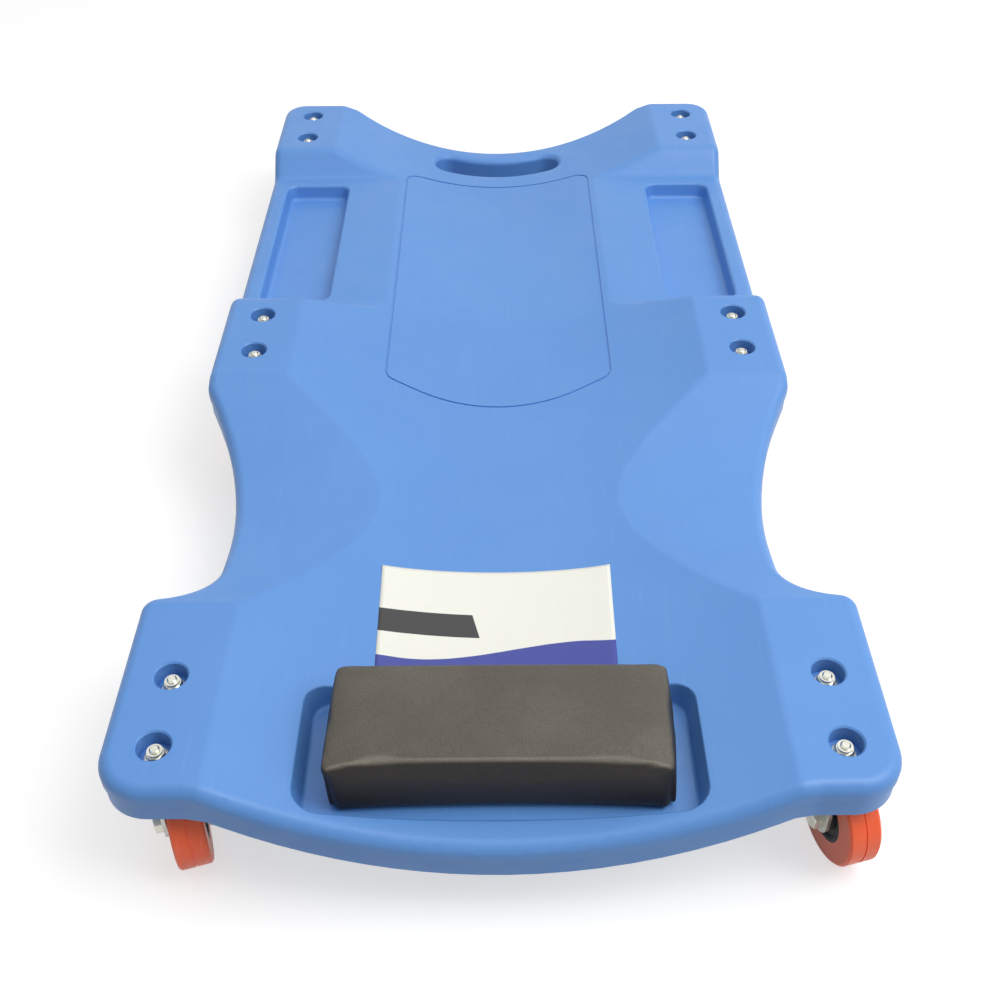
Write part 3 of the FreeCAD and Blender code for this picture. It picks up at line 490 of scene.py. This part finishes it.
def paper_sheet(name):
    """A thin sheet laid on the deck, which bridges the small step of the headrest's seat."""
    columns, rows = LABEL_CELLS
    levels = [[0.0] * (rows + 1) for _ in range(columns + 1)]
    for i in range(columns + 1):
        x = LABEL_LEFT + (LABEL_RIGHT - LABEL_LEFT) * i / columns
        bare = [deck_level(x, LABEL_FAR + (LABEL_NEAR - LABEL_FAR) * j / rows) for j in range(rows + 1)]
        for j in range(rows + 1):
            near = bare[max(0, j - BRIDGED_CELLS):j + BRIDGED_CELLS + 1]
            levels[i][j] = max(bare[j], sum(near) / len(near))
    top = []
    for i in range(columns + 1):
        for j in range(rows + 1):
            u, v = i / columns, j / rows
            lift = CORNER_LIFT * max(0.0, 1 - v * CORNER_CURL) * (abs(2 * u - 1) ** 6)
            top.append((LABEL_LEFT + (LABEL_RIGHT - LABEL_LEFT) * u + LABEL_TAPER * v * (1 - 2 * u),
                        LABEL_FAR + (LABEL_NEAR - LABEL_FAR) * v, levels[i][j] + PAPER + lift))
    faces = [(i * (rows + 1) + j, i * (rows + 1) + j + 1, (i + 1) * (rows + 1) + j + 1,
              (i + 1) * (rows + 1) + j) for i in range(columns) for j in range(rows)]
    mesh = bpy.data.meshes.new(name)
    mesh.from_pydata(top, [], faces)
    piece = bpy.data.objects.new(name, mesh)
    bpy.context.scene.collection.objects.link(piece)
    thick = piece.modifiers.new("thickness", "SOLIDIFY")
    thick.thickness, thick.offset = PAPER * 0.8, -1
    applied(piece)
    for face in piece.data.polygons:
        face.use_smooth = True
    return piece


label = paper_sheet("paper_label")
label.data.materials.append(label_print)
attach(label, "deck")

# ------------------------------------------------------------------------------ steel of the casters
# Pressed plates, forks, kingpins, bearing rings and every bolt, nut and washer: mild steel with bright
# zinc plating, faintly yellow, with a fine spangle and light rub marks.
zinc_plate, given, made = node_group(
    "zinc_plate",
    {"Where": ("Vector", None), "Colour": ("Color", (0.6, 0.6, 0.56, 1)),
     "Dull Colour": ("Color", (0.4, 0.4, 0.38, 1)), "Roughness": ("Float", 0.3),
     "Grain Size": ("Float", 300)},
    {"Colour": "Color", "Roughness": "Float", "Height": "Float"})
spangle = add(zinc_plate, "TexVoronoi", {"Vector": given["Where"], "Scale": given["Grain Size"],
                                         "Randomness": 1.0}).outputs["Color"]
spangle = add(zinc_plate, "SeparateColor", {0: spangle}).outputs[0]
haze = noise(zinc_plate, given["Where"], 60, 4, 0.6)
brush = noise(zinc_plate, stretched(zinc_plate, given["Where"], 900, 60, 900), 1.0, 2)
share = maths(zinc_plate, maths(zinc_plate, spangle, 0.3),
              ramp(zinc_plate, haze, 0.35, 0.7, 0, 0.7), "ADD")
zinc_plate.links.new(colour_mix(zinc_plate, share, given["Colour"], given["Dull Colour"]),
                     made.inputs["Colour"])
dulled = maths(zinc_plate, maths(zinc_plate, share, 0.22), given["Roughness"], "ADD")
zinc_plate.links.new(dulled, made.inputs["Roughness"])
height = maths(zinc_plate, maths(zinc_plate, brush, 0.6), maths(zinc_plate, haze, 0.6), "ADD")
zinc_plate.links.new(height, made.inputs["Height"])


def zinc(name, colour, dull, roughness, grain):
    material = new_material(name)
    tree = material.node_tree
    where = add(tree, "TexCoord").outputs["Object"]
    skin = place_group(tree, zinc_plate, {"Where": where, "Colour": (*colour, 1), "Dull Colour": (*dull, 1),
                                          "Roughness": roughness, "Grain Size": grain})
    relief = add(tree, "Bump", {"Height": skin["Height"], "Strength": 0.7, "Distance": 0.00004})
    body = add(tree, "BsdfPrincipled", {"Base Color": skin["Colour"], "Roughness": skin["Roughness"],
                                        "Metallic": 1.0, "Normal": relief.outputs[0]})
    add(tree, "OutputMaterial", {"Surface": body.outputs[0]})
    return material


def dress(node, material):
    """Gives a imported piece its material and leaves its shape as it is."""
    mesh = nodes[node].data
    mesh.materials.clear()
    mesh.materials.append(material)


sheet_zinc = zinc("zinc_plated_sheet", (0.66, 0.66, 0.61), (0.44, 0.44, 0.41), 0.3, 320)
bolt_zinc = zinc("zinc_plated_fasteners", (0.74, 0.74, 0.66), (0.52, 0.52, 0.45), 0.22, 700)
for node in ("headrest_screws", "headrest_washers", "caster_bolts", "caster_nuts", "caster_washers"):
    dress(node, bolt_zinc)
for node in ("bearing_rings", "race_cups"):
    dress(node, sheet_zinc)

# ------------------------------------------------------------------------------ wheels
# Each wheel is a black moulded core with a soft orange polyurethane tread cast round it. The tread is
# slightly glossy, with a faint moulding bloom, and the core is satin.
core_plastic = moulded_plastic(
    "black_hub_plastic", (0.01, 0.0095, 0.009), (0.016, 0.015, 0.014), 0.55, 0.5, 0.00006, 0.03,
    **{"Specular IOR Level": 0.2})

tread = new_material("orange_polyurethane")
tree = tread.node_tree
where = add(tree, "TexCoord").outputs["Object"]
skin = place_group(tree, moulded_skin, {
    "Where": where, "Colour": (1.0, 0.12, 0.03, 1), "Cloud Colour": (1.0, 0.14, 0.04, 1),
    "Roughness": 0.38, "Peel Depth": 0.3, "Rub": 0.04})
relief = add(tree, "Bump", {"Height": skin["Height"], "Strength": 1.0, "Distance": 0.00006})
body = add(tree, "BsdfPrincipled", {
    "Base Color": skin["Colour"], "Roughness": skin["Roughness"], "Normal": relief.outputs[0],
    "Subsurface Weight": 0.15, "Subsurface Radius": (0.004, 0.0012, 0.0006), "Subsurface Scale": 1.0})
add(tree, "OutputMaterial", {"Surface": body.outputs[0]})

for place in ("head_left", "head_right", "mid_left", "mid_right", "foot_left", "foot_right"):
    for kind in ("plate", "fork", "kingpin", "axle_sleeve"):
        dress(f"{kind}_{place}", sheet_zinc)
    for kind in ("axle_bolt", "axle_nut"):
        dress(f"{kind}_{place}", bolt_zinc)
    dress(f"wheel_core_{place}", core_plastic)
    dress(f"tyre_{place}", tread)
